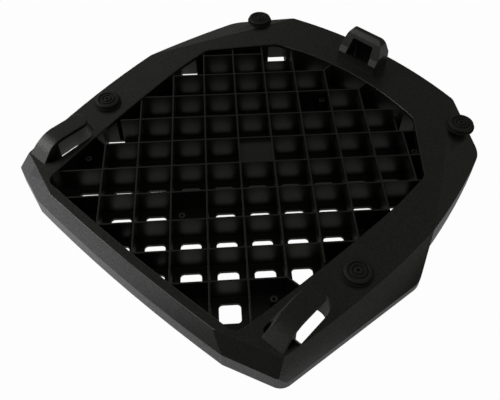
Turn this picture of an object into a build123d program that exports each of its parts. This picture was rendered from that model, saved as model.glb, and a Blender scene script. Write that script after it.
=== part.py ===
from build123d import *
from math import atan2, cos, degrees, radians, sin, sqrt
import os

os.makedirs("parts", exist_ok=True)

# Universal mounting plate for a motorcycle top case, moulded in one piece, with four rubber pads.
# X is to the rider's right, Y to the rear, Z up. The underside lies on z = 0.

# Levels
rim_top = 27.5
skin = 3.0
floor_thickness = 2.4
rib_top = 26.0
rib_front_fall = 1.6
rib_fall_start_y = -40.0

# Outer wall of the rim
overall_depth = 328.0
skirt_wall = 2.8
skirt_front_kink_x = 101.0
skirt_front_kink_drop = 3.5
skirt_front_corner_x = 144.0
skirt_front_corner_drop = 16.7
skirt_widest_x = 168.3
skirt_widest_y = -18.5
waist_x = 155.6
waist_y = 14.2
flank_x = 150.3
flank_y = 62.0
rear_shoulder_x = 139.5
rear_shoulder_inset = 47.0
rear_corner_x = 92.0
rear_corner_drop = 12.2
front_corner_radius = 11.0
widest_radius = 16.0
rear_shoulder_radius = 22.0
rear_corner_radius = 14.0

# Sloping band between the top face and the skirt
slope_front_inset = 7.5
slope_front_low = 15.0
slope_kink_x = 87.4
slope_kink_inset = 9.4
slope_corner_x = 136.6
slope_corner_inset = 25.4
slope_side_x = 149.2
slope_side_y = -68.0
slope_side_low = 7.5
crease_radius = 1.2

# Facets that fall away over the rear shoulders
facet_start_x = 156.0
facet_start_y = 15.5
facet_end_x = 111.7
facet_end_inset = 55.3
facet_fall_angle = 18.0

# Well that holds the rib lattice
well_front_inset = 14.8
well_front_bow = 2.6
well_wall = 2.5
well_front_corner_x = 101.5
well_side_x = 121.5
well_side_bow_x = 114.6
well_side_bow_y = -52.0
well_side_front_y = 20.0
well_side_rear_y = 56.2
well_rear_corner_x = 78.0
well_rear_inset = 43.1
well_rear_bow = 13.1
well_front_radius = 8.0
well_side_radius = 11.0
well_rear_radius = 12.0
well_edge_round = 0.8

# Rib lattice, turned by 45 degrees about the centre line
cell_pitch = 28.0
cell_count = 11
lattice_centre_y = -9.75
rib_width = 1.3
low_rib_drop = 10.0
floor_hole_size = 16.2
floor_hole_radius = 3.0
floor_hole_wall_gap = 7.0
centre_panel_drop = 3.0
centre_panel_thickness = 2.0

# Screw posts
post_diameter = 5.4
post_top = 20.0
screw_hole_diameter = 2.4
front_post_spacing = 202.6
front_post_y = -106.4
rear_post_spacing = 196.0
rear_post_y = 81.1
centre_post_y = -97.2

# Side pockets under the rim
pocket_wall = 2.0
pocket_ceiling = 3.0

# Front hooks
hook_tongue_inner_x = 117.8
hook_tongue_width = 16.2
hook_foot_inset = 26.2
hook_foot_flare = 1.7
hook_flare_run = 11.0
hook_flare_radius = 30.0
hook_crest_run = 14.2
hook_crest_height = 12.9
hook_tip_run = 51.3
hook_tip_height = 11.0
hook_thickness = 3.0
hook_crest_radius = 24.0
hook_tip_radius = 7.0
hook_edge_round = 0.7
hook_stem_run = 18.4
hook_stem_inset = 2.5
hook_well_inner_x = 113.0
hook_well_width = 26.0
hook_well_front_run = 3.5
hook_well_rear_run = 54.5
hook_well_front_radius = 4.0
hook_well_taper = 4.5
hook_well_taper_run = 10.5
hook_well_wall = 2.2
hook_ledge_front_drop = 2.5
hook_ledge_rear_drop = 12.5
hook_ledge_foot_run = 7.5

# Latch loop
loop_half_width = 20.3
loop_front_inset = 33.4
loop_sill_height = 9.0
loop_lean_run = 3.4
loop_lean_height = 14.0
loop_brow_run = 9.2
loop_brow_height = 26.0
loop_height = 30.4
loop_crown_front_run = 12.4
loop_crown_rear_run = 16.6
loop_crown_radius = 2.0
loop_back_height = 15.5
loop_back_run = 21.4
loop_foot_run = 25.9
loop_rear_radius = 6.0
loop_window_half_width = 12.6
loop_window_top_half_width = 10.6
loop_window_height = 14.0
loop_window_radius = 1.5
loop_shoulder_half_width = 16.6
loop_shoulder_radius = 8.0
loop_back_wall = 4.0
loop_well_front_run = 3.6
loop_well_wall = 2.2
loop_well_radius = 2.0

# Rubber pads
front_pad_x = 135.0
front_pad_inset = 109.0
rear_pad_x = 113.8
rear_pad_inset = 38.4
pad_flange_diameter = 23.4
pad_flange_height = 1.2
pad_neck_diameter = 19.4
pad_neck_height = 1.0
pad_cap_diameter = 21.0
pad_height = 4.9
pad_crown = 0.5
pad_edge_bevel = 1.3
pad_groove_width = 1.5
pad_groove_depth = 0.9
pad_groove_radii = (6.8, 3.9)
pad_hole_diameter = 2.2
pad_hole_depth = 3.0
pad_stem_diameter = 7.4
pad_stem_length = 7.0
pad_stem_clearance = 0.3
pad_seat_diameter = 24.6
pad_seat_depth = 9.0
pad_boss_diameter = 13.0
pad_boss_depth = 12.0
pad_boss_floor = 2.0

# Webs under the rim
web_thickness = 2.0
web_bottom = 5.0
side_web_ys = (-30.0, 8.0, 46.0, 84.0)
rear_web_xs = (-72.0, -36.0, 36.0, 72.0)
front_web_xs = (-60.0, -20.0, 20.0, 60.0)

front_y = -overall_depth / 2
rear_y = overall_depth / 2
half_diagonal = cell_pitch / sqrt(2)
hook_foot_y = front_y + hook_foot_inset
loop_front_y = rear_y - loop_front_inset
above = 2 * rim_top
upward = (Align.CENTER, Align.CENTER, Align.MIN)


def mirrored(right_edges):
    """Close a half outline, drawn from the front to the rear on the right, across the centre line."""
    left_edges = [edge.mirror(Plane.YZ) for edge in right_edges]
    return make_face(Wire(right_edges + left_edges))


def corner_of(face, x, y):
    """The two mirrored corners of an outline that lie nearest to (+-x, y)."""
    found = []
    for side in (1, -1):
        found.append(nearest_corner(face, side * x, y))
    return found


def nearest_corner(face, x, y):
    return min(face.vertices(), key=lambda v: (v.X - x) ** 2 + (v.Y - y) ** 2)


def half_arc(outer_point, centre_y):
    """Half of the shallow arc through the mirrored pair of a point and a point on the centre line."""
    x, y = outer_point
    bow = centre_y - y
    radius = (x * x + bow * bow) / (2 * abs(bow))
    sign = 1 if bow > 0 else -1
    half_angle = atan2(x, radius - abs(bow)) / 2
    middle = (radius * sin(half_angle), centre_y - sign * radius * (1 - cos(half_angle)))
    return ThreePointArc((x, y), middle, (0, centre_y))


def side_profile(points, low_x, high_x):
    """Solid with a profile drawn in (y, z), from one x to another."""
    placed = Plane(origin=(low_x, 0, 0), x_dir=(0, 1, 0), z_dir=(1, 0, 0)) * points
    return extrude(placed, amount=high_x - low_x)


def skirt_face():
    kink = (skirt_front_kink_x, front_y + skirt_front_kink_drop)
    corner = (skirt_front_corner_x, front_y + skirt_front_corner_drop)
    widest = (skirt_widest_x, skirt_widest_y)
    waist = (waist_x, waist_y)
    shoulder = (rear_shoulder_x, rear_y - rear_shoulder_inset)
    rear_corner = (rear_corner_x, rear_y - rear_corner_drop)
    face = mirrored([
        half_arc(kink, front_y),
        Line(kink, corner),
        Line(corner, widest),
        Line(widest, waist),
        ThreePointArc(waist, (flank_x, flank_y), shoulder),
        Line(shoulder, rear_corner),
        half_arc(rear_corner, rear_y),
    ])
    face = fillet(corner_of(face, *corner), front_corner_radius)
    face = fillet(corner_of(face, *widest), widest_radius)
    face = fillet(corner_of(face, *shoulder), rear_shoulder_radius)
    return fillet(corner_of(face, *rear_corner), rear_corner_radius)


def sloped(top, low, low_level, level):
    """Point at a level on the line that falls from a point of the top edge to its foot at low_level."""
    share = (rim_top - level) / (rim_top - low_level)
    return Vector(top) + (Vector(low) - Vector(top)) * share


def front_slope_section(level):
    """Section at a level of the space in front of the sloping band."""
    centre = sloped((0, front_y + slope_front_inset), (0, front_y), slope_front_low, level)
    kink = sloped(
        (slope_kink_x, front_y + slope_kink_inset),
        (skirt_front_kink_x, front_y + skirt_front_kink_drop),
        slope_front_low,
        level,
    )
    chamfer = Vector(slope_corner_x - slope_kink_x, slope_corner_inset - slope_kink_inset)
    past = kink + chamfer * 2
    ahead = 2 * front_y
    return Pos(0, 0, level) * mirrored([
        half_arc((kink.X, kink.Y), centre.Y),
        Line(kink, past),
        Line(past, (past.X, ahead)),
        Line((past.X, ahead), (0, ahead)),
    ])


def side_slope_section(level):
    """Section at a level of the space to the right of the sloping band."""
    corner_top = Vector(slope_corner_x, front_y + slope_corner_inset)
    corner_low = Vector(skirt_front_corner_x, front_y + skirt_front_corner_drop)
    bow_top = Vector(slope_side_x, slope_side_y)
    waist = Vector(waist_x, waist_y)
    widest = Vector(skirt_widest_x, skirt_widest_y)
    share = (bow_top - corner_top).length / ((bow_top - corner_top).length + (waist - bow_top).length)
    bow_low = corner_low + (widest - corner_low) * share
    arc = ThreePointArc(
        sloped(corner_top, corner_low, slope_side_low, level),
        sloped(bow_top, bow_low, slope_side_low, level),
        sloped(waist, widest, slope_side_low, level),
    )
    start = arc.position_at(-0.2)
    end = arc.position_at(1.02)
    away = 2 * skirt_widest_x
    return Pos(0, 0, level) * make_face(Wire([
        ThreePointArc(start, arc.position_at(0.5), end),
        Line(end, (away, end.Y)),
        Line((away, end.Y), (away, start.Y)),
        Line((away, start.Y), start),
    ]))


def slope_cutters():
    """Solids that cut the sloping band off the front and the two sides of the rim."""
    high = 1.5 * rim_top
    front = loft([front_slope_section(0), front_slope_section(high)], ruled=True)
    right = loft([side_slope_section(0), side_slope_section(high)], ruled=True)
    return [front, right, mirror(right, Plane.YZ)]


def facet_cutter(side):
    """Block over the sloping facet of one rear shoulder."""
    along = Vector(facet_end_x - facet_start_x, rear_y - facet_end_inset - facet_start_y, 0).normalized()
    outward = Vector(along.Y, -along.X, 0)
    fall = radians(facet_fall_angle)
    normal = Vector(side * outward.X * sin(fall), outward.Y * sin(fall), cos(fall))
    lean = Vector(side * along.X, along.Y, 0)
    start = (side * facet_start_x, facet_start_y, rim_top)
    block = Box(4 * rim_top + overall_depth, overall_depth, rim_top, align=upward)
    return Plane(origin=start, x_dir=lean, z_dir=normal) * block


def rim_form(inset, drop):
    """Outer form of the rim, with its skirt moved inward by inset and its top down by drop."""
    skirt = skirt_face()
    if inset:
        skirt = offset(skirt, amount=-inset)
    cutters = slope_cutters() + [facet_cutter(1), facet_cutter(-1)]
    return extrude(skirt, amount=rim_top - drop) - [Pos(0, 0, -drop) * cutter for cutter in cutters]


def crease_edges(form):
    """Edges between the top face and the front of the sloping band."""
    level = [edge for edge in form.edges() if abs(edge.center().Z - rim_top) < 0.01]
    return [edge for edge in level if edge.center().Y < front_y + slope_corner_inset]


def well_face():
    front_corner = (well_front_corner_x, front_y + well_front_inset + well_front_bow)
    side_front = (well_side_x, well_side_front_y)
    side_rear = (well_side_x, well_side_rear_y)
    rear_centre_y = rear_y - well_rear_inset
    rear_corner = (well_rear_corner_x, rear_centre_y - well_rear_bow)
    face = mirrored([
        half_arc(front_corner, front_y + well_front_inset),
        ThreePointArc(front_corner, (well_side_bow_x, well_side_bow_y), side_front),
        Line(side_front, side_rear),
        Line(side_rear, rear_corner),
        half_arc(rear_corner, rear_centre_y),
    ])
    face = fillet(corner_of(face, *front_corner), well_front_radius)
    face = fillet(corner_of(face, *side_rear), well_side_radius)
    return fillet(corner_of(face, *rear_corner), well_rear_radius)


def lattice_point(across, down):
    """Place on the plate of a lattice position, counted in cells from the left corner of the lattice."""
    u = across - cell_count / 2
    v = down - cell_count / 2
    return Vector((u + v) * half_diagonal, lattice_centre_y + (u - v) * half_diagonal, 0)


def lattice_box(across, down, low, high, grow=0.0):
    """Box that fills a range of the lattice, from the level low to the level high."""
    middle = lattice_point((across[0] + across[1]) / 2, (down[0] + down[1]) / 2)
    length = (across[1] - across[0]) * cell_pitch + 2 * grow
    width = (down[1] - down[0]) * cell_pitch + 2 * grow
    box = Box(length, width, high - low, align=upward)
    return Location((middle.X, middle.Y, low), (0, 0, 45)) * box


def swapped(across, down):
    """The mirror image, across the centre line, of a range or a place of the lattice."""
    if isinstance(across, tuple):
        return (cell_count - down[1], cell_count - down[0]), (cell_count - across[1], cell_count - across[0])
    return cell_count - down, cell_count - across


# Reach of each rib of the lattice, in cells, one rib a line from the front left wall to the rear
rib_reach = {
    1: (4, 6),
    2: (3, 8),
    3: (2, 9),
    4: (1.4, 10),
    5: (1, 10.7),
    6: (-0.6, 11.6),
    7: (-0.6, 11.6),
    8: (1, 9),
    9: (2, 8),
    10: (3, 6),
}
low_rib = ((6, 1), (7, 1))
spur_rib = ((1, 5), (0.4, 4.4))
odd_spur_ribs = (((8, 2), (8.6, 1.4)), ((9, 3), (9.6, 2.4)))

# Pockets that reach under the rim, with their ranges across and down the lattice
side_pockets = (
    ((0.88, 1.40), (4.04, 4.72)),
    ((3.22, 3.74), (0.80, 1.70)),
    ((6.25, 6.87), (0.04, 0.90)),
)

# Cells with a floor hole: first and last cell of each row
hole_rows = {
    0: (4, 5),
    1: (3, 7),
    2: (2, 8),
    3: (2, 9),
    4: (1, 9),
    5: (1, 9),
    6: (0, 9),
    7: (1, 8),
    8: (1, 7),
    9: (2, 6),
    10: (4, 4),
}
screw_cells = ((3, 7), (7, 3))
centre_cell = (cell_count // 2, cell_count // 2)


def rib_between(start, end, high):
    """Upright rib from one lattice position to another."""
    low = floor_thickness / 2
    a = lattice_point(*start)
    b = lattice_point(*end)
    run = b - a
    angle = degrees(atan2(run.Y, run.X))
    box = Box(run.length + rib_width, rib_width, high - low, align=upward)
    middle = (a + b) * 0.5
    return Location((middle.X, middle.Y, low), (0, 0, angle)) * box


def lattice_ribs():
    ribs = []
    for down, (first, last) in rib_reach.items():
        ribs.append(rib_between((first, down), (last, down), rib_top))
        ribs.append(rib_between(swapped(first, down), swapped(last, down), rib_top))
    for start, end in (low_rib, (swapped(*low_rib[0]), swapped(*low_rib[1]))):
        ribs.append(rib_between(start, end, rib_top - low_rib_drop))
    for start, end in (spur_rib, (swapped(*spur_rib[0]), swapped(*spur_rib[1]))) + odd_spur_ribs:
        ribs.append(rib_between(start, end, rib_top))
    return ribs


def rib_fall_cutter():
    """Block over the ribs, tilted so that they fall toward the front wall."""
    run = rib_fall_start_y - front_y - well_front_inset
    fall = Vector(0, -run, -rib_front_fall).normalized()
    block = Box(overall_depth, 2 * skirt_widest_x, rim_top, align=(Align.MIN, Align.CENTER, Align.MIN))
    normal = Vector(0, fall.Z, -fall.Y)
    return Plane(origin=(0, rib_fall_start_y, rib_top), x_dir=fall, z_dir=normal) * block


def post_places():
    """Centres of the six screw posts."""
    places = [(0, centre_post_y), (0, rear_post_y)]
    for side in (-1, 1):
        places.append((side * front_post_spacing / 2, front_post_y))
        places.append((side * rear_post_spacing / 2, rear_post_y))
    return places


def floor_holes(well):
    """Rounded square holes, one in each cell of the floor, kept clear of the well wall."""
    inside = offset(well, amount=-floor_hole_wall_gap)
    holes = []
    for down, (first, last) in hole_rows.items():
        for across in range(first, last + 1):
            if (across, down) in screw_cells or (across, down) == centre_cell:
                continue
            middle = lattice_point(across + 0.5, down + 0.5)
            square = RectangleRounded(floor_hole_size, floor_hole_size, floor_hole_radius)
            holes.append(Location((middle.X, middle.Y, 0), (0, 0, 45)) * square)
    cut = Sketch() + holes
    return extrude(cut & inside, amount=floor_thickness)


def hook_well_face(grow=0.0):
    """Outline of the opening under the right hook, narrowed in front and round at the rear."""
    inner = hook_well_inner_x - grow
    outer = hook_well_inner_x + hook_well_width + grow
    radius = (outer - inner) / 2
    front = hook_foot_y + hook_well_front_run - grow
    rear = hook_foot_y + hook_well_rear_run + grow - radius
    narrow = (outer - hook_well_taper, front)
    full = (outer, front + hook_well_taper_run)
    face = make_face(Wire([
        Line((inner, front), narrow),
        Line(narrow, full),
        Line(full, (outer, rear)),
        ThreePointArc((outer, rear), ((inner + outer) / 2, rear + radius), (inner, rear)),
        Line((inner, rear), (inner, front)),
    ]))
    return fillet(face.vertices().sort_by(Axis.Y)[:2], hook_well_front_radius + grow)


def hook_plan(inset):
    """Outline of the right tongue from above, with its flared foot, moved inward by inset."""
    inner = hook_tongue_inner_x + inset
    outer = hook_tongue_inner_x + hook_tongue_width - inset
    flared = hook_foot_y + hook_flare_run
    tip = hook_foot_y + hook_tip_run
    front = hook_foot_y - 1
    flare = hook_foot_flare * (flared - front) / hook_flare_run
    face = make_face(Polyline(
        (inner - flare, front),
        (outer + flare, front),
        (outer, flared),
        (outer, tip),
        (inner, tip),
        (inner, flared),
        close=True,
    ))
    flares = [nearest_corner(face, inner, flared), nearest_corner(face, outer, flared)]
    face = fillet(flares, hook_flare_radius)
    return fillet(face.vertices().group_by(Axis.Y)[-1], hook_tip_radius - inset)


def hook_solid():
    """Right hook: a tongue that rises from the rim and runs rearward, on a stem and a sloping ledge."""
    t = hook_thickness
    foot = Vector(hook_foot_y, rim_top)
    crest = Vector(hook_foot_y + hook_crest_run, rim_top + hook_crest_height)
    tip = Vector(hook_foot_y + hook_tip_run, rim_top + hook_tip_height)
    leg = crest - foot
    reach = tip - crest
    leg_lean = atan2(leg.Y, leg.X)
    reach_lean = atan2(reach.Y, reach.X)
    half_turn = (leg_lean - reach_lean) / 2
    middle_lean = reach_lean + half_turn
    inner_crest = crest + Vector(sin(middle_lean), -cos(middle_lean)) * (t / cos(half_turn))
    inner_foot = Vector(foot.X + t / sin(leg_lean), rim_top)
    inner_tip = Vector(tip.X, tip.Y - t / cos(reach_lean))
    sunk = rim_top - skin
    profile = make_face(Polyline(
        (foot.X, sunk), foot, crest, tip, inner_tip, inner_crest, inner_foot, (inner_foot.X, sunk), close=True
    ))
    profile = fillet(nearest_corner(profile, crest.X, crest.Y), hook_crest_radius)
    profile = fillet(nearest_corner(profile, inner_crest.X, inner_crest.Y), hook_crest_radius - t)
    low_x = hook_tongue_inner_x - 2 * hook_foot_flare
    high_x = hook_tongue_inner_x + hook_tongue_width + 2 * hook_foot_flare
    tongue = side_profile(profile, low_x, high_x) & extrude(hook_plan(0), amount=above)
    upper = [face for face in tongue.faces() if face.normal_at().Z > 0.3]
    around = [edge for face in upper for edge in face.edges()]
    around = [edge for edge in around if sum(edge.is_same(other) for other in around) == 1]
    around = [edge for edge in around if edge.center().Y > hook_foot_y + 0.1]
    tongue = fillet(around, hook_edge_round)

    # Stem, under the tongue down to the underside
    stem_y = hook_foot_y + hook_stem_run
    front = hook_foot_y + hook_well_front_run - hook_well_wall / 2
    below_tongue = inner_crest + reach * ((stem_y - inner_crest.X) / reach.X)
    stem_profile = make_face(Polyline(
        (front, 0),
        (front, sunk),
        inner_foot,
        inner_crest + Vector(0, t / 3),
        below_tongue + Vector(0, t / 3),
        (stem_y, 0),
        close=True,
    ))
    stem = side_profile(stem_profile, low_x, high_x) & extrude(hook_plan(hook_stem_inset), amount=above)

    # Ledge, across the front of the opening
    ledge_profile = make_face(Polyline(
        (front, 0),
        (front, rim_top - hook_ledge_front_drop),
        (stem_y, rim_top - hook_ledge_rear_drop),
        (stem_y + hook_ledge_foot_run, 0),
        close=True,
    ))
    half_wall = hook_well_wall / 2
    well_outer_x = hook_well_inner_x + hook_well_width
    ledge = side_profile(ledge_profile, hook_well_inner_x - half_wall, well_outer_x + half_wall)
    ledge &= extrude(hook_well_face(half_wall), amount=rim_top)
    return [tongue, stem, ledge]


def loop_solid():
    """Latch loop: a low block that carries an arch leaning to the rear."""
    sunk = rim_top - skin
    foot_y = loop_front_y + loop_foot_run
    crown_front = (loop_front_y + loop_crown_front_run, rim_top + loop_height)
    crown_rear = (loop_front_y + loop_crown_rear_run, rim_top + loop_height)
    back = (loop_front_y + loop_back_run, rim_top + loop_back_height)
    profile = make_face(Polyline(
        (loop_front_y, sunk),
        (loop_front_y, rim_top + loop_sill_height),
        (loop_front_y + loop_lean_run, rim_top + loop_lean_height),
        (loop_front_y + loop_brow_run, rim_top + loop_brow_height),
        crown_front,
        crown_rear,
        back,
        (foot_y, rim_top),
        (foot_y, sunk),
        close=True,
    ))
    profile = fillet([nearest_corner(profile, *crown_front), nearest_corner(profile, *crown_rear)], loop_crown_radius)
    block = side_profile(profile, -loop_half_width, loop_half_width)
    waist_z = rim_top + loop_back_height
    front_outline = make_face(Polyline(
        (-loop_half_width, sunk),
        (loop_half_width, sunk),
        (loop_half_width, waist_z),
        (loop_shoulder_half_width, rim_top + loop_height),
        (-loop_shoulder_half_width, rim_top + loop_height),
        (-loop_half_width, waist_z),
        close=True,
    ))
    front_outline = fillet(front_outline.vertices().group_by(Axis.Y)[-1], loop_shoulder_radius)
    frame = Plane(origin=(0, foot_y, 0), x_dir=(1, 0, 0), z_dir=(0, -1, 0))
    block &= extrude(frame * front_outline, amount=loop_foot_run)
    plan = Pos(0, (loop_front_y + foot_y) / 2) * Rectangle(2 * loop_half_width, loop_foot_run)
    plan = fillet(plan.vertices().group_by(Axis.Y)[-1], loop_rear_radius)
    return block & extrude(plan, amount=2 * above)


def loop_window():
    """Opening in the front of the latch loop, from the sill up, that stops short of the back wall."""
    sill = rim_top + loop_sill_height
    top = sill + loop_window_height
    foot_y = loop_front_y + loop_foot_run
    outline = make_face(Polyline(
        (-loop_window_half_width, sill),
        (loop_window_half_width, sill),
        (loop_window_top_half_width, top),
        (-loop_window_top_half_width, top),
        close=True,
    ))
    outline = fillet(outline.vertices().group_by(Axis.Y)[-1], loop_window_radius)
    frame = Plane(origin=(0, foot_y, 0), x_dir=(1, 0, 0), z_dir=(0, -1, 0))
    window = extrude(frame * outline, amount=loop_foot_run)
    lean = (loop_back_run - loop_crown_rear_run) / (loop_height - loop_back_height)
    inner_back = loop_front_y + loop_back_run - loop_back_wall
    depth = make_face(Polyline(
        (loop_front_y, sill),
        (loop_front_y, top),
        (inner_back - (top - rim_top - loop_back_height) * lean, top),
        (inner_back, rim_top + loop_back_height),
        (inner_back, sill),
        close=True,
    ))
    return window & side_profile(depth, -loop_window_half_width, loop_window_half_width)


def loop_well_face(grow=0.0):
    width = 2 * (loop_window_half_width + grow)
    front = loop_front_y + loop_well_front_run - grow
    rear = loop_front_y + loop_back_run - loop_back_wall + grow
    return Pos(0, (front + rear) / 2) * RectangleRounded(width, rear - front, loop_well_radius + grow)


pad_places = {
    "pad_front_left": (-front_pad_x, front_y + front_pad_inset),
    "pad_front_right": (front_pad_x, front_y + front_pad_inset),
    "pad_rear_left": (-rear_pad_x, rear_y - rear_pad_inset),
    "pad_rear_right": (rear_pad_x, rear_y - rear_pad_inset),
}


def upright(x, y, diameter, low, high):
    return Pos(x, y, low) * Cylinder(diameter / 2, high - low, align=upward)


def both_sides(solids):
    return solids + [mirror(solid, Plane.YZ) for solid in solids]


def build_plate():
    well = well_face()

    # Everything that stays solid under the skin of the rim
    keep = [extrude(offset(well, amount=well_wall), amount=rim_top)]
    for across, down in side_pockets:
        for box in ((across, down), swapped(across, down)):
            keep.append(lattice_box(*box, 0, rim_top, pocket_wall))
    keep += both_sides([extrude(hook_well_face(hook_well_wall), amount=rim_top)])
    keep.append(extrude(loop_well_face(loop_well_wall), amount=rim_top))
    for x, y in pad_places.values():
        keep.append(upright(x, y, pad_boss_diameter, rim_top - pad_boss_depth, rim_top))
        keep.append(upright(x, y, pad_seat_diameter, rim_top - pad_seat_depth, rim_top))
    web_height = rim_top - web_bottom
    for y in side_web_ys:
        keep.append(Pos(0, y, web_bottom) * Box(2 * skirt_widest_x, web_thickness, web_height, align=upward))
    for x in rear_web_xs:
        keep.append(Pos(x, rear_y / 2, web_bottom) * Box(web_thickness, rear_y, web_height, align=upward))
    for x in front_web_xs:
        keep.append(Pos(x, front_y / 2, web_bottom) * Box(web_thickness, -front_y, web_height, align=upward))
    form = rim_form(0, 0)
    form = fillet(crease_edges(form), crease_radius)
    plate = form - (rim_form(skirt_wall, skin) - keep)

    # Well, with the round on its top edge
    plate -= Pos(0, 0, floor_thickness) * extrude(well, amount=rim_top)
    level = [edge for edge in plate.edges() if abs(edge.center().Z - rim_top) < 0.01]
    around_well = [edge for edge in level if well.distance_to(Pos(0, 0, -rim_top) * edge) < 0.01]
    plate = fillet(around_well, well_edge_round)

    # Floor and lattice
    inside = extrude(well, amount=rib_top) - rib_fall_cutter()
    lattice = Part() + lattice_ribs()
    panel_top = rib_top - centre_panel_drop
    centre = (centre_cell[0], centre_cell[0] + 1)
    lattice += lattice_box(centre, centre, panel_top - centre_panel_thickness, panel_top)
    lattice += [upright(x, y, post_diameter, floor_thickness / 2, post_top) for x, y in post_places()]
    plate += lattice & inside
    plate -= [floor_holes(well)] + [upright(x, y, screw_hole_diameter, 0, rim_top) for x, y in post_places()]

    # Side pockets, open to the well and through the floor, and the openings under the hooks and the loop
    openings = both_sides([extrude(hook_well_face(), amount=above)])
    for across, down in side_pockets:
        for box in ((across, down), swapped(across, down)):
            openings.append(lattice_box(*box, 0, rim_top - pocket_ceiling))
    for x, y in pad_places.values():
        hole = pad_stem_diameter + 2 * pad_stem_clearance
        openings.append(upright(x, y, hole, rim_top - pad_boss_depth + pad_boss_floor, rim_top))
    plate -= openings

    # Front hooks and latch loop
    plate += both_sides(hook_solid()) + [loop_solid()]
    plate -= [loop_window(), extrude(loop_well_face(), amount=rim_top + loop_sill_height)]
    return plate


def build_pad(x, y):
    """Stepped rubber pad with ring grooves and a stem, turned about its own axis."""
    flange = pad_flange_diameter / 2
    neck = pad_neck_diameter / 2
    cap = pad_cap_diameter / 2
    stem = pad_stem_diameter / 2
    hole = pad_hole_diameter / 2
    neck_high = pad_flange_height + pad_neck_height
    shoulder = pad_height - pad_crown
    points = [
        (0, -pad_stem_length),
        (stem, -pad_stem_length),
        (stem, 0),
        (flange, 0),
        (flange, pad_flange_height),
        (neck, pad_flange_height),
        (neck, neck_high),
        (cap, neck_high),
        (cap, shoulder - pad_edge_bevel / 2),
        (cap - pad_edge_bevel, shoulder),
    ]
    for radius in pad_groove_radii:
        for edge in (radius + pad_groove_width / 2, radius - pad_groove_width / 2):
            crown = shoulder + pad_crown * (1 - edge / (cap - pad_edge_bevel))
            low = crown - pad_groove_depth
            points += [(edge, crown), (edge, low)] if edge > radius else [(edge, low), (edge, crown)]
    points += [(hole, pad_height), (hole, pad_height - pad_hole_depth), (0, pad_height - pad_hole_depth)]
    outline = make_face(Polyline(*points, close=True))
    return Pos(x, y, rim_top) * revolve(Plane.XZ * outline, axis=Axis.Z)


export_step(build_plate(), "parts/plate.step")
for name, (x, y) in pad_places.items():
    export_step(build_pad(x, y), "parts/" + name + ".step")
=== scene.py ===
import math

import bpy
from mathutils import Euler, Matrix, Vector

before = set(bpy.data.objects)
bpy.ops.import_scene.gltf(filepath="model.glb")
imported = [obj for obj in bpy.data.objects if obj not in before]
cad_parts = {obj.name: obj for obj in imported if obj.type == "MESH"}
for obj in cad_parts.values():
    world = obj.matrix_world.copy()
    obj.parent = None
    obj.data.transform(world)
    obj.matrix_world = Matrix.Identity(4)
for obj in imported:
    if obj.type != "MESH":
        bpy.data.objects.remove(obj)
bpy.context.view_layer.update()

MM = 0.001

# Photograph's frame and the camera that took it: its turn is pitch, roll and heading in degrees
IMAGE_WIDTH = 500
FOCAL_PIXELS = 635.163
SENSOR_WIDTH = 36.0
CAMERA_PLACE = Vector((0.23972, -0.28898, 0.40901))
CAMERA_PITCH = 39.2661
CAMERA_ROLL = -0.0619
CAMERA_HEADING = 41.5169

# Floor: its size and two tones, how white the camera sees it, and how much of plain white the plate
# mirrors from each part of it: a painted reflection, brightest ahead on the left, with painted shade
# under the plate and beyond its right side
FLOOR_HALF = 6.0
FLOOR_DROP = 0.3 * MM
FLOOR_TONE = 0.80
FLOOR_PALE_TONE = 0.83
CLOUD_SIZE = 0.4
FLOOR_SEEN = 0.98
MIRRORED_AHEAD = 0.58
MIRRORED_BEHIND = 0.12
MIRRORED_NEAR_LEFT = 0.50
MIRRORED_NEAR_RIGHT = 0.21
MIRRORED_UNDER = 0.125
MIRRORED_BEYOND = 0.02
NEAR_HALF = 176 * MM
NEAR_BLUR = 6 * MM
UNDER_HALF = 155 * MM
UNDER_BLUR = 30 * MM
BEYOND_START = -75 * MM
BEYOND_WIDTH = 140 * MM
COOL_WHITE = (0.98, 0.97, 1.0, 1)
WARM_WHITE = (1.0, 1.0, 0.90, 1)

# Sky over the studio: its tones, and the parts of a direction between which each comes in
HORIZON_TONE = 0.02
CEILING_TONE = 0.062
LEFT_TONE = 0.10
RIGHT_TONE = 0.04
CEILING_RISE = (0.1, 0.5)
LEFT_RISE = (0.4, 0.8)
RIGHT_RISE = (-0.4, 0.5)

# Soft lamps: place in metres, width, height and power in watts
KEY_LAMP = {"place": (-1.5, -0.9, 1.0), "width": 1.2, "height": 0.9, "power": 4.1}
FRONT_LAMP = {"place": (-0.78, -1.54, 0.82), "width": 0.9, "height": 0.4, "power": 0.4}

# Region of the plate that holds the well, its ribs and its pockets
WELL_HALF_WIDTH = 123 * MM
WELL_FRONT = -150 * MM
WELL_REAR = 122.5 * MM
WELL_TOP = 26.6 * MM
WELL_BLUR = 0.4 * MM

# Painted highlight on the crease between the rim and the front band; its turn is in upward parts of the
# surface direction
CREASE_HALF_WIDTH = 90 * MM
CREASE_REAR = -140 * MM
CREASE_LOW = 24.5 * MM
CREASE_BLUR = 1 * MM
CREASE_TURN_START = (0.66, 0.76)
CREASE_TURN_END = (0.92, 0.985)

# Rubber pads: their top face, and where below it the grooves begin and are wholly dull and darkened, a
# painted shade
PAD_TOP = 32.4 * MM
GROOVE_START = 0.3 * MM
GROOVE_END = 0.8 * MM

# Rounding of sharp edges in the looks, and the softness and depth of the grain
PLASTIC_EDGE = 0.5 * MM
RUBBER_EDGE = 0.4 * MM
BEVEL_SAMPLES = 6
PEBBLE_SMOOTHNESS = 0.6
PLASTIC_BUMP = 0.03 * MM
RUBBER_BUMP = 0.02 * MM


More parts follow.
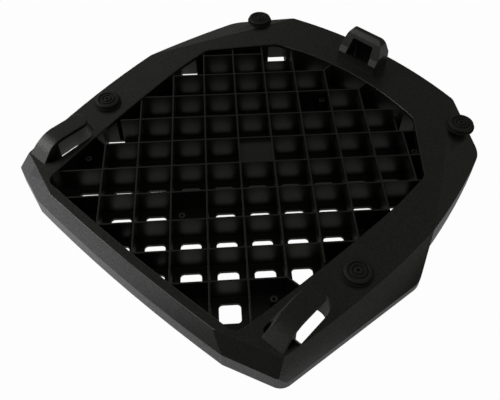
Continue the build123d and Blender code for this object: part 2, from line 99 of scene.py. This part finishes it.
class Value:
    """A shader socket that can stand in a sum."""

    def __init__(self, finish, socket):
        self.finish = finish
        self.socket = socket

    def _math(self, operation, first, second):
        node = self.finish.add("ShaderNodeMath", {"operation": operation}, {0: first, 1: second})
        return Value(self.finish, node.outputs[0])

    def __add__(self, other):
        return self._math("ADD", self, other)

    __radd__ = __add__

    def __sub__(self, other):
        return self._math("SUBTRACT", self, other)

    def __rsub__(self, other):
        return self._math("SUBTRACT", other, self)

    def __mul__(self, other):
        return self._math("MULTIPLY", self, other)

    __rmul__ = __mul__

    def __abs__(self):
        return self._math("ABSOLUTE", self, 0.0)


class Finish:
    """The nodes of a material or of the sky, made one by one."""

    def __init__(self, owner, coordinates="Object"):
        owner.use_nodes = True
        self.owner = owner
        self.tree = owner.node_tree
        self.tree.nodes.clear()
        self.place = Value(self, self.add("ShaderNodeTexCoord").outputs[coordinates])
        parts = self.add("ShaderNodeSeparateXYZ", {}, {0: self.place})
        self.x, self.y, self.z = [Value(self, output) for output in parts.outputs]

    def add(self, kind, settings=None, inputs=None):
        """Make one node: its settings first, then the values or links of its sockets."""
        node = self.tree.nodes.new(kind)
        for name, setting in (settings or {}).items():
            setattr(node, name, setting)
        for key, value in (inputs or {}).items():
            if isinstance(value, Value):
                self.tree.links.new(value.socket, node.inputs[key])
            else:
                node.inputs[key].default_value = value
        return node

    def noise(self, size, detail=2.0, roughness=0.5, stretch=(1, 1, 1)):
        """Cloudy pattern whose blotches are about size metres wide, drawn out by stretch."""
        spot = self.add("ShaderNodeMapping", {}, {"Vector": self.place, "Scale": stretch})
        node = self.add("ShaderNodeTexNoise", {}, {
            "Vector": Value(self, spot.outputs[0]),
            "Scale": 1.0 / size,
            "Detail": detail,
            "Roughness": roughness,
        })
        return Value(self, node.outputs["Fac"])

    def pebbles(self, size):
        """Cell pattern of an etched grain, with cells about size metres wide."""
        node = self.add("ShaderNodeTexVoronoi", {"feature": "SMOOTH_F1"}, {
            "Vector": self.place,
            "Scale": 1.0 / size,
            "Smoothness": PEBBLE_SMOOTHNESS,
        })
        return Value(self, node.outputs["Distance"])

    def step(self, value, low, high):
        """0 below low, 1 above high, and a smooth rise between them."""
        node = self.add("ShaderNodeMapRange", {"interpolation_type": "SMOOTHSTEP"}, {
            "Value": value,
            "From Min": low,
            "From Max": high,
        })
        return Value(self, node.outputs[0])

    def blend(self, share, first, second):
        """Mix of two colours."""
        node = self.add("ShaderNodeMix", {"data_type": "RGBA"}, {0: share, 6: first, 7: second})
        return Value(self, node.outputs[2])

    def edge_normal(self, radius):
        """Surface direction that rounds sharp edges over the given radius."""
        node = self.add("ShaderNodeBevel", {"samples": BEVEL_SAMPLES}, {"Radius": radius})
        return Value(self, node.outputs[0])

    def flat_normal(self):
        """Surface direction of the solid itself."""
        return Value(self, self.add("ShaderNodeNewGeometry").outputs["Normal"])

    def edge_share(self, normal):
        """How far the rounded direction departs from the flat one: 0 on a face, more on an edge."""
        flat = self.flat_normal()
        node = self.add("ShaderNodeVectorMath", {"operation": "DOT_PRODUCT"}, {0: normal, 1: flat})
        return 1.0 - Value(self, node.outputs["Value"])

    def bump(self, height, distance, normal, strength):
        """Surface direction, tilted by a pattern of the given height."""
        node = self.add("ShaderNodeBump", {}, {
            "Strength": strength,
            "Distance": distance,
            "Height": height,
            "Normal": normal,
        })
        return Value(self, node.outputs[0])

    def output(self, kind, shader):
        """Close the tree with a shader, and return the material or the sky."""
        node = self.add(kind)
        self.tree.links.new(shader.outputs[0], node.inputs["Surface"])
        return self.owner

    def surface(self, base, roughness, normal, gloss):
        """Close the tree with a plain surface."""
        inputs = {"Base Color": base, "Roughness": roughness, "Normal": normal, **gloss}
        return self.output("ShaderNodeOutputMaterial", self.add("ShaderNodeBsdfPrincipled", {}, inputs))


def well_share(finish):
    """1 inside the well, where the mould is polished, and 0 on the grained outer faces."""
    across = finish.step(WELL_HALF_WIDTH - abs(finish.x), 0.0, WELL_BLUR)
    ahead = finish.step(finish.y - WELL_FRONT, 0.0, WELL_BLUR)
    behind = finish.step(WELL_REAR - finish.y, 0.0, WELL_BLUR)
    below = finish.step(WELL_TOP - finish.z, 0.0, WELL_BLUR)
    return across * ahead * behind * below


def crease_share(finish):
    """1 on the rounded edge between the rim and the front band, where the surface turns to the front: the
    mask of a painted highlight.
    """
    parts = finish.add("ShaderNodeSeparateXYZ", {}, {0: finish.flat_normal()})
    upward = Value(finish, parts.outputs[2])
    turned = finish.step(upward, *CREASE_TURN_START) * (1.0 - finish.step(upward, *CREASE_TURN_END))
    across = finish.step(CREASE_HALF_WIDTH - abs(finish.x), 0.0, CREASE_BLUR)
    ahead = finish.step(CREASE_REAR - finish.y, 0.0, CREASE_BLUR)
    above = finish.step(finish.z - CREASE_LOW, 0.0, CREASE_BLUR)
    return turned * across * ahead * above


def grained_plastic():
    """Black moulded plastic: etched grain outside, a smoother well, patchy gloss, scuffs, lighter edges
    that are partly wear and partly a painted highlight, and a painted highlight on the front crease.
    """
    finish = Finish(bpy.data.materials.new("grained_black_plastic"))
    rounded = finish.edge_normal(PLASTIC_EDGE)
    edge = finish.edge_share(rounded)
    well = well_share(finish)
    outside = 1.0 - well
    painted_crease_highlight = crease_share(finish)
    grain = finish.pebbles(0.5 * MM) * 0.7 + finish.noise(0.22 * MM, 1.0) * 0.3
    flow = finish.noise(70 * MM, 3.0, 0.55)
    mottle = finish.noise(7 * MM, 3.0, 0.6)
    ripple = finish.noise(6 * MM, 2.0, 0.5, stretch=(0.25, 1, 2))
    long_scuff = finish.step(finish.noise(4 * MM, 4.0, 0.65, stretch=(1, 14, 1)), 0.68, 0.80)
    cross_scuff = finish.step(finish.noise(5 * MM, 4.0, 0.65, stretch=(12, 1, 1)), 0.70, 0.82)
    scuffs = (long_scuff + cross_scuff) * finish.step(flow, 0.45, 0.65) * outside
    # Lighter edges: partly wear, partly a painted highlight along the rounded edges
    wear_and_edge_highlight = finish.step(edge, 0.02, 0.16) * (0.5 + mottle)
    dust = finish.step(finish.noise(1.2 * MM, 2.0, 0.7), 0.70, 0.86) * outside
    sheen = finish.step(finish.noise(1.0 * MM, 2.0, 0.6), 0.36, 0.66) * (0.3 + outside * 0.7)
    tone = finish.blend(flow * 0.6 + mottle * 0.4, (0.0062, 0.0064, 0.0055, 1), (0.0120, 0.0124, 0.0108, 1))
    tone = finish.blend(scuffs * 0.22, tone, (0.05, 0.05, 0.052, 1))
    tone = finish.blend(wear_and_edge_highlight * 0.16, tone, (0.07, 0.07, 0.068, 1))
    tone = finish.blend(dust * 0.06, tone, (0.12, 0.115, 0.11, 1))
    # Painted highlight: the front crease is made pale grey in the colour
    tone = finish.blend(painted_crease_highlight * 0.8, tone, (0.42, 0.42, 0.43, 1))
    roughness = 0.28 + flow * 0.08 + mottle * 0.05 + scuffs * 0.06 - wear_and_edge_highlight * 0.06 + well * 0.04
    height = grain * outside + ripple * well * 2.0
    normal = finish.bump(height, PLASTIC_BUMP, rounded, 0.6)
    gloss = {
        "Coat Weight": 0.10 + sheen * 0.8,
        "Coat Roughness": 0.32,
        "Coat IOR": 1.7,
        "Specular IOR Level": 1.0,
        "IOR": 1.55,
    }
    return finish.surface(tone, roughness, normal, gloss)


def pad_rubber():
    """Black moulded rubber with a powdery bloom, glossy on its ridges and dull in its grooves, which are
    darkened as painted shade, and with lighter edges that are partly wear and partly a painted highlight.
    """
    finish = Finish(bpy.data.materials.new("black_pad_rubber"))
    rounded = finish.edge_normal(RUBBER_EDGE)
    edge = finish.edge_share(rounded)
    bloom = finish.noise(3 * MM, 3.0, 0.6)
    skin = finish.noise(0.3 * MM, 2.0)
    # Lighter edges: partly wear, partly a painted highlight along the rounded edges
    wear_and_edge_highlight = finish.step(edge, 0.02, 0.20)
    groove = finish.step(PAD_TOP - finish.z, GROOVE_START, GROOVE_END)
    tone = finish.blend(bloom, (0.0060, 0.0062, 0.0054, 1), (0.0120, 0.0123, 0.0110, 1))
    tone = finish.blend(wear_and_edge_highlight * 0.12, tone, (0.06, 0.06, 0.058, 1))
    # Painted shade: the grooves are darkened in the colour
    tone = finish.blend(groove, tone, (0.0012, 0.0012, 0.0011, 1))
    roughness = 0.32 + bloom * 0.10 - wear_and_edge_highlight * 0.08 + groove * 0.34
    normal = finish.bump(skin, RUBBER_BUMP, rounded, 0.5)
    return finish.surface(tone, roughness, normal, {"Specular IOR Level": 1.0, "IOR": 1.6})


def dress(node, material):
    """Give a solid of the frame its finish."""
    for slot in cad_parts[node].material_slots:
        slot.material = material


def grey(tone):
    """Opaque grey, from 0 for black to 1 for white."""
    return (tone, tone, tone, 1)


def square_share(finish, half, blur):
    """1 in a square around the plate's centre, falling to 0 at its border."""
    return finish.step(half - abs(finish.x), 0.0, blur) * finish.step(half - abs(finish.y), 0.0, blur)


def make_floor():
    """Pale floor that glows for the plate's mirrored rays, a painted reflection: brightest in front on the
    left, with painted shade under the plate and least beyond its right side.
    """
    bpy.ops.mesh.primitive_plane_add(size=2 * FLOOR_HALF, location=(0, 0, -FLOOR_DROP))
    floor = bpy.context.object
    floor.name = "floor"
    finish = Finish(bpy.data.materials.new("pale_floor"))
    light_path = finish.add("ShaderNodeLightPath")
    seen = Value(finish, light_path.outputs["Is Camera Ray"])
    seen = seen + Value(finish, light_path.outputs["Is Transmission Ray"])
    near = square_share(finish, NEAR_HALF, NEAR_BLUR)
    under = square_share(finish, UNDER_HALF, UNDER_BLUR)
    behind = finish.step(finish.y, 0.0, NEAR_HALF)
    beyond = finish.step(finish.x - BEYOND_START, 0.0, BEYOND_WIDTH)
    rightward = finish.step(finish.x, -NEAR_HALF, NEAR_HALF)
    beside = MIRRORED_NEAR_LEFT + rightward * (MIRRORED_NEAR_RIGHT - MIRRORED_NEAR_LEFT)
    # Painted reflection: the glow that mirrored rays see is set by region, with painted shadow under the
    # plate and painted shade beyond its right side
    share = MIRRORED_AHEAD
    levels = [(beyond, MIRRORED_BEYOND), (behind, MIRRORED_BEHIND), (near, beside), (under, MIRRORED_UNDER)]
    for region, level in levels:
        share = share * (1.0 - region) + region * level
    mirrored = Value(finish, light_path.outputs["Is Glossy Ray"]) * share
    cloud = finish.noise(CLOUD_SIZE)
    tone = finish.blend(cloud, grey(FLOOR_TONE), grey(FLOOR_PALE_TONE))
    matt = finish.add("ShaderNodeBsdfDiffuse", {}, {"Color": tone})
    # Painted tint in the reflection: warmer white under the plate, cooler elsewhere
    white = finish.blend(seen, finish.blend(under, COOL_WHITE, WARM_WHITE), grey(1))
    glow = finish.add("ShaderNodeEmission", {}, {"Color": white, "Strength": 1.0})
    mixed = finish.add("ShaderNodeMixShader", {}, {
        0: seen * FLOOR_SEEN + mirrored,
        1: Value(finish, matt.outputs[0]),
        2: Value(finish, glow.outputs[0]),
    })
    floor.data.materials.append(finish.output("ShaderNodeOutputMaterial", mixed))


def make_lamp(name, place, width, height, power):
    """Soft rectangular lamp that faces the middle of the plate."""
    data = bpy.data.lights.new(name, "AREA")
    data.shape = "RECTANGLE"
    data.size = width
    data.size_y = height
    data.energy = power
    lamp = bpy.data.objects.new(name, data)
    lamp.location = place
    lamp.rotation_euler = (-Vector(place)).to_track_quat("-Z", "Y").to_euler()
    bpy.context.collection.objects.link(lamp)


def make_sky():
    """Dim warm ceiling, paler to both sides, over a dark horizon, and white where the camera sees it."""
    world = bpy.data.worlds.new("studio")
    finish = Finish(world, "Generated")
    high = finish.step(finish.z, *CEILING_RISE)
    left = finish.step(0.0 - finish.x, *LEFT_RISE)
    right = finish.step(finish.x, *RIGHT_RISE)
    tone = HORIZON_TONE + high * (CEILING_TONE - HORIZON_TONE + left * LEFT_TONE + right * RIGHT_TONE)
    tone = finish.blend(tone, grey(0), WARM_WHITE)
    looked_at = Value(finish, finish.add("ShaderNodeLightPath").outputs["Is Camera Ray"])
    colour = finish.blend(looked_at, tone, grey(1))
    shader = finish.add("ShaderNodeBackground", {}, {"Color": colour, "Strength": 1.0})
    bpy.context.scene.world = finish.output("ShaderNodeOutputWorld", shader)


def make_camera():
    """The photograph's camera."""
    data = bpy.data.cameras.new("camera")
    data.sensor_width = SENSOR_WIDTH
    data.lens = FOCAL_PIXELS * SENSOR_WIDTH / IMAGE_WIDTH
    data.clip_start = 0.01
    data.clip_end = 50.0
    camera = bpy.data.objects.new("camera", data)
    turn = Euler([math.radians(angle) for angle in (CAMERA_PITCH, CAMERA_ROLL, CAMERA_HEADING)])
    camera.matrix_world = Matrix.Translation(CAMERA_PLACE) @ turn.to_matrix().to_4x4()
    bpy.context.collection.objects.link(camera)
    bpy.context.scene.camera = camera


make_camera()
make_sky()
make_floor()
make_lamp("key", **KEY_LAMP)
make_lamp("front", **FRONT_LAMP)

plastic = grained_plastic()
rubber = pad_rubber()
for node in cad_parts:
    dress(node, rubber if node.startswith("pad") else plastic)

view = bpy.context.scene.view_settings
view.view_transform = "Standard"
